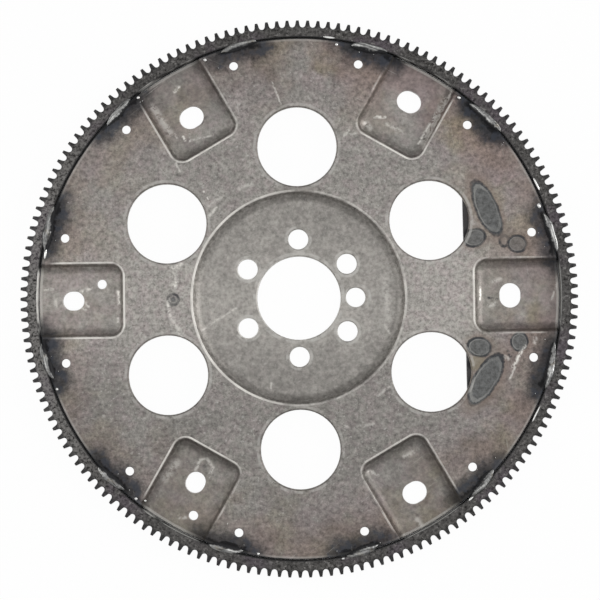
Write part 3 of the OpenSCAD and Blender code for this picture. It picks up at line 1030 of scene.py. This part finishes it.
@dataclass
class Spatter:
    """Drops of weld metal beside the beads: those the picture shows and a scatter of small ones."""

    finish: Finish
    bead_angles: tuple[float, ...]
    per_bead: int = 2
    seed: int = 7
    spread: float = 8.0
    edge_radius: float = 166.0
    throw: float = 5.0
    sizes: tuple[float, float] = (0.15, 0.3)
    lift: float = 0.3
    squash: float = 0.8
    drops: tuple[Drop, ...] = (
        Drop(20.2, 165.8, 1.15, 1.5), Drop(24.8, 169.8, 0.7, 6.4), Drop(50.6, 165.6, 0.9, 1.3),
        Drop(80.8, 165.8, 1.0), Drop(82.7, 169.6, 0.7, 5.4), Drop(110.8, 165.6, 1.05),
        Drop(169.4, 166.2, 0.8, 4.4), Drop(200.0, 166.6, 0.9), Drop(128.0, 166.2, 0.85, 1.3),
        Drop(232.2, 163.7, 0.75), Drop(333.1, 169.8, 0.55, 10.0), Drop(230.3, 166.4, 1.0),
        Drop(260.3, 166.6, 0.9), Drop(278.9, 169.9, 0.6, 1.6), Drop(309.8, 169.9, 0.7, 2.6),
    )

    def scatter(self) -> list[Drop]:
        """Small drops thrown inwards from each bead."""
        dice = random.Random(self.seed)
        made = []
        for angle in self.bead_angles:
            for _ in range(self.per_bead):
                turn = math.degrees(angle) + dice.uniform(-self.spread, self.spread)
                out = self.edge_radius - abs(dice.gauss(0, self.throw))
                made.append(Drop(turn, out, dice.uniform(*self.sizes)))
        return made

    def build(self) -> None:
        """Makes all drops as one piece on the disc's front."""
        bm = bmesh.new()
        for drop in (*self.drops, *self.scatter()):
            base = RING_TOP if drop.out > RING_BORE else WEB_TOP
            turn = Matrix.Rotation(math.radians(drop.angle), 4, "Z")
            place = Matrix.Translation(Vector((drop.out, 0, base + self.lift * drop.radius)) * MM)
            size = Matrix.Diagonal((1.0, drop.length, self.squash, 1.0))
            matrix = turn @ place @ size
            bmesh.ops.create_icosphere(bm, subdivisions=3, radius=drop.radius * MM, matrix=matrix)
        piece = added("weld_spatter", bm, self.finish.material())
        piece.data.shade_smooth()
        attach(piece, BODY)
        LOG.info("%s: %d faces", piece.name, len(piece.data.polygons))


@dataclass
class Flexplate:
    """The whole object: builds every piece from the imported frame."""

    frame: dict
    welds: tuple[str, ...] = ("slot", "inner_plug", "outer_plug")

    def mesh(self, node: str) -> bpy.types.Mesh:
        """The CAD mesh of a node."""
        return self.frame["nodes"][node].data

    def heat_marks(self) -> tuple[Oval, ...]:
        """The ovals that the weights' welds burnt into the front, a straw patch and a punch mark."""
        return (
            Oval(121.9, 56.0, 37.4, 13.8, 113.0),
            Oval(113.6, 37.2, 14.5, 11.4, 12.0, 0.85, 1.0, 0.8),
            Oval(141.1, 32.9, 11.8, 10.6, 0.0, 0.6, 0.7, 0.9),
            Oval(119.6, -54.3, 36.4, 15.0, 58.0),
            Oval(115.8, -33.4, 15.2, 12.0, -8.0, 0.92, 1.0, 0.8),
            Oval(141.5, -30.2, 10.8, 11.8, 0.0, 0.92, 0.7, 0.8),
            Oval(113.2, -43.4, 9.0, 6.5, 25.0, 0.0, -1.2, 0.01),
            Oval(132.7, 34.9, 5.6, 6.8, 0.0, 0.1, 0.4, 1.1),
            Oval(-81.1, -0.1, 7.2, 7.2, 0.0, 0.3, 0.0, 0.9),
            Oval(-81.1, -0.1, 2.4, 2.4, 0.0, 0.8, 0.0, 0.6),
        )

    def sheet_marks(self) -> tuple[Mark, ...]:
        """Scratches, scuffs and dark dashes that the picture shows on the front."""
        return (
            Mark(-76.3, 138.1, -79.0, 135.4, 1.6, 0.9), Mark(-76.9, 133.2, -73.7, 129.4, 3.2, -0.3),
            Mark(-73.9, 105.9, -72.6, 103.7, 1.4, 0.95), Mark(-79.0, 107.3, -78.2, 105.4, 1.4, 0.6),
            Mark(-69.6, 107.2, -69.7, 102.8, 1.4, 0.55), Mark(-63.6, 113.0, -60.9, 115.1, 1.4, -0.8),
            Mark(-67.5, 103.6, -54.5, 106.7, 1.2, 0.5), Mark(-93.1, 125.3, -82.5, 108.4, 4.0, 0.4),
            Mark(-61.2, 69.9, -60.6, 69.6, 1.4, 0.95), Mark(-58.1, 65.3, -57.7, 64.9, 1.2, 0.95),
            Mark(-58.0, 53.0, -52.4, 58.9, 1.5, 0.6), Mark(-57.0, 60.5, -50.5, 65.5, 3.4, 0.35),
            Mark(-37.5, 71.5, -29.5, 74.0, 2.4, 0.35), Mark(-15.6, 139.9, -9.9, 125.5, 1.0, 0.5),
            Mark(-78.3, 88.2, -75.8, 82.3, 1.1, 0.5), Mark(144.6, -33.4, 135.2, -53.5, 1.2, 0.6),
            Mark(142.7, -36.8, 137.4, -46.3, 1.9, 0.9), Mark(145.5, -33.0, 144.0, -35.5, 1.2, 0.6),
            Mark(134.2, -36.9, 135.8, -39.7, 1.9, -0.9), Mark(132.6, -39.9, 134.2, -41.0, 2.0, 0.5),
            Mark(151.9, -27.9, 151.3, -31.3, 2.0, 0.45), Mark(-63.0, -19.9, -40.8, -5.9, 1.2, 0.45),
            Mark(122.9, -1.6, 128.0, -2.3, 1.5, -0.9), Mark(117.2, 5.0, 117.0, -2.8, 1.2, 0.85),
            Mark(123.0, -6.5, 126.5, -5.0, 2.4, 0.5), Mark(126.0, 9.0, 131.0, 11.0, 2.2, 0.4),
            Mark(167.0, 7.5, 163.5, -3.0, 1.2, 0.5), Mark(50.8, 116.9, 57.3, 116.8, 1.6, 0.9),
            Mark(58.6, 112.3, 67.6, 106.9, 2.0, 0.45), Mark(45.0, 112.6, 47.5, 109.4, 3.4, 0.5),
            Mark(91.1, 119.6, 78.8, 99.0, 1.6, 0.85), Mark(100.6, 132.3, 81.1, 95.3, 1.5, 0.75),
            Mark(96.5, 127.5, 81.5, 99.5, 3.6, 0.55), Mark(30.1, 104.3, 33.5, 107.5, 1.8, 0.5),
            Mark(35.0, 105.5, 38.5, 106.0, 1.6, 0.4), Mark(55.9, 12.3, 57.5, -13.5, 4.0, 0.3),
            Mark(55.5, -18.4, 58.4, -23.4, 1.4, 0.5), Mark(5.1, 63.8, 4.4, 63.9, 2.0, -0.5),
            Mark(-18.8, -54.7, -18.8, -57.9, 1.2, 0.5), Mark(50.2, -64.0, 59.3, -56.4, 1.5, 0.4),
            Mark(-141.2, 5.8, -134.7, 8.3, 1.6, 0.8), Mark(-164.8, 7.4, -159.4, 8.0, 1.5, 0.5),
            Mark(-116.9, 5.5, -116.3, -2.7, 1.8, 0.95), Mark(-117.1, -11.4, -117.4, -14.3, 1.6, 0.6),
            Mark(-138.0, -2.0, -136.3, -3.7, 1.6, 0.7), Mark(-141.3, -4.9, -138.0, -5.9, 1.4, 0.6),
            Mark(-157.8, -0.1, -157.6, -3.4, 1.9, 0.5), Mark(-81.1, 20.1, -75.7, 22.5, 2.4, 0.8),
            Mark(-80.8, 7.3, -78.7, 11.4, 2.2, 0.85), Mark(-79.6, 18.0, -80.0, 12.0, 2.6, 0.4),
            Mark(-84.6, -1.7, -83.7, -9.1, 1.5, 0.8), Mark(-83.0, -10.3, -75.7, -23.2, 2.6, 0.5),
            Mark(-68.2, -110.1, -64.9, -103.7, 1.7, 0.5), Mark(-64.9, -103.7, -60.6, -103.2, 1.7, 0.5),
            Mark(-60.6, -103.2, -56.9, -108.6, 1.7, 0.45), Mark(-56.9, -108.6, -59.7, -115.0, 1.9, 0.55),
            Mark(-62.8, -108.0, -62.0, -108.6, 3.6, -0.4), Mark(-88.1, -115.2, -80.5, -105.7, 5.0, 0.35),
            Mark(-78.7, -141.5, -75.0, -140.4, 1.8, 0.5), Mark(43.8, -112.5, 49.6, -114.7, 2.0, 0.5),
            Mark(66.9, -103.2, 72.3, -100.6, 2.4, 0.45), Mark(74.3, -143.8, 78.0, -148.6, 2.6, 0.4),
            Mark(27.1, -82.8, 30.0, -83.4, 1.6, 0.4), Mark(39.8, -83.3, 47.3, -82.0, 1.8, 0.35),
            Mark(-127.2, -113.0, -126.0, -113.6, 1.3, 0.9),
        )

    def build(self) -> None:
        """Makes every piece."""
        marks = self.heat_marks()
        sheet = SheetSteel("rolled_sheet_steel", marks, self.sheet_marks())
        scale = MillScale("dark_mill_scale", marks)
        weld = WeldMetal("bare_weld_bead")
        plug = PlugMetal("blued_plug_weld")
        oxide = DarkRing("dark_ring_oxide")
        SheetDisc("disc", sheet, Slot.PLATE, self.mesh("disc")).build()
        EdgedPart("ring_gear", oxide, Slot.RING, self.mesh("ring_gear"), round_width=0.2).build()
        for side in Side:
            node = f"counterweight_{side.value}"
            EdgedPart(node, scale, Slot.WEIGHT, self.mesh(node), round_width=0.5, round_segments=3).build()
            for kind in self.welds:
                node = f"{side.value}_{kind}_weld"
                WeightWeld(node, plug, Slot.WELD, self.mesh(node)).build()
        angles = []
        for number in range(1, BEAD_COUNT + 1):
            node = f"ring_weld_{number:02d}"
            bead = RingBead(node, weld, Slot.WELD, self.mesh(node), crease=60.0, seed=number)
            angles.append(bead.span()[0])
            bead.build()
        Spatter(WeldDropGlint("weld_drops_painted_glint"), tuple(angles)).build()


@dataclass
class Softbox:
    """One rectangular lamp aimed at the object's middle."""

    name: str
    place: tuple[float, float, float]
    size: tuple[float, float]
    radiance: float

    def build(self) -> None:
        """Adds the lamp. Its power follows from the brightness of its face, in metres and watts."""
        lamp = bpy.data.lights.new(self.name, "AREA")
        lamp.shape = "RECTANGLE"
        lamp.size, lamp.size_y = self.size
        lamp.energy = self.radiance * math.pi * self.size[0] * self.size[1]
        holder = bpy.data.objects.new(self.name, lamp)
        holder.location = self.place
        holder.rotation_euler = (-Vector(self.place)).to_track_quat("-Z", "Y").to_euler()
        bpy.context.scene.collection.objects.link(holder)


@dataclass
class Studio:
    """White floor, soft light and the picture's camera."""

    floor_height: float
    camera_height: float = 1500.0
    camera_turn: tuple[float, float, float] = (-2.255, -0.796, 0.757)
    camera_shift: tuple[float, float] = (-0.69, 1.26)
    lens: float = 139.05
    floor_radius_m: float = 12.0
    floor_grey: float = 0.8
    floor_white: float = 0.97
    ring_footing: tuple[float, float] = (163.0, 174.0)
    room_level: float = 0.38
    room_overhead: float = 0.20
    room_horizon: float = 0.25
    boxes: tuple[Softbox, ...] = (
        Softbox("overhead_softbox", (0.0, 0.0, 2.6), (2.6, 2.6), 0.69),
        Softbox("right_softbox", (1.9, 0.35, 0.95), (0.9, 1.4), 6.2),
        Softbox("left_softbox", (-1.9, 0.25, 0.95), (0.9, 1.4), 2.6),
    )

    def floor(self) -> None:
        """A pale floor that looks white from above and is dark under the ring."""
        bm = bmesh.new()
        bmesh.ops.create_circle(
            bm, cap_ends=True, segments=96, radius=self.floor_radius_m,
            matrix=Matrix.Translation((0, 0, self.floor_height)),
        )
        made = bpy.data.materials.new("pale_floor")
        made.use_nodes = True
        tree = made.node_tree
        shader = tree.nodes["Principled BSDF"]
        shader.inputs["Base Color"].default_value = (*[self.floor_grey] * 3, 1.0)
        shader.inputs["Roughness"].default_value = 0.9
        start = Wire(tree)
        kinds = ("Camera", "Glossy", "Transmission")
        rays = [start.node("ShaderNodeLightPath", output=f"Is {kind} Ray") for kind in kinds]
        covered = Spot(tree).radius.band(*self.ring_footing, 1.0)
        seen = rays[0].top(rays[1]).top(rays[2]) * (1 - covered)
        white = start.node("ShaderNodeEmission", None, {"Color": (1.0, 1.0, 1.0, 1.0), "Strength": 1.0})
        lit = Wire(tree, shader.outputs[0])
        mixed = start.node("ShaderNodeMixShader", None, {0: seen * self.floor_white, 1: lit, 2: white})
        tree.links.new(mixed.socket, tree.nodes["Material Output"].inputs["Surface"])
        plane = added("floor", bm, made)
        plane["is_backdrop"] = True

    def world(self) -> None:
        """A grey room: bright overhead, dim at mid height, pale at the horizon."""
        room = bpy.data.worlds.new("grey_room")
        bpy.context.scene.world = room
        room.use_nodes = True
        tree = room.node_tree
        start = Wire(tree)
        direction = start.node("ShaderNodeTexCoord", output="Generated")
        up = start.node("ShaderNodeSeparateXYZ", None, {0: direction}, 2)
        level = self.room_level + up.fade(0.72, 0.98) * self.room_overhead
        level = level + up.fade(0.22, 0.04) * self.room_horizon
        tree.links.new(level.socket, tree.nodes["Background"].inputs["Color"])

    def camera(self) -> None:
        """The picture's camera, from the turn, shift and lens that fit the holes in it."""
        turn = Euler([math.radians(v) for v in self.camera_turn], "XYZ").to_matrix()
        back = turn.transposed()
        data = bpy.data.cameras.new("picture_camera")
        data.sensor_width = 36.0
        data.lens = self.lens
        camera = bpy.data.objects.new("picture_camera", data)
        place = back @ Vector((-self.camera_shift[0], -self.camera_shift[1], self.camera_height)) * MM
        camera.matrix_world = Matrix.Translation(place) @ back.to_4x4()
        bpy.context.scene.collection.objects.link(camera)
        bpy.context.scene.camera = camera

    def build(self) -> None:
        """Sets up floor, light, camera and the plain view transform."""
        self.floor()
        self.world()
        for box in self.boxes:
            box.build()
        self.camera()
        bpy.context.scene.view_settings.view_transform = "Standard"


def main() -> None:
    """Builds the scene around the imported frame."""
    logging.basicConfig(level=logging.INFO, format="%(name)s: %(message)s")
    for thing in list(bpy.data.objects):
        bpy.data.objects.remove(thing)
    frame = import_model()
    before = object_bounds()
    Flexplate(frame).build()
    Studio(before[0].z).build()


if __name__ == "__main__":
    main()
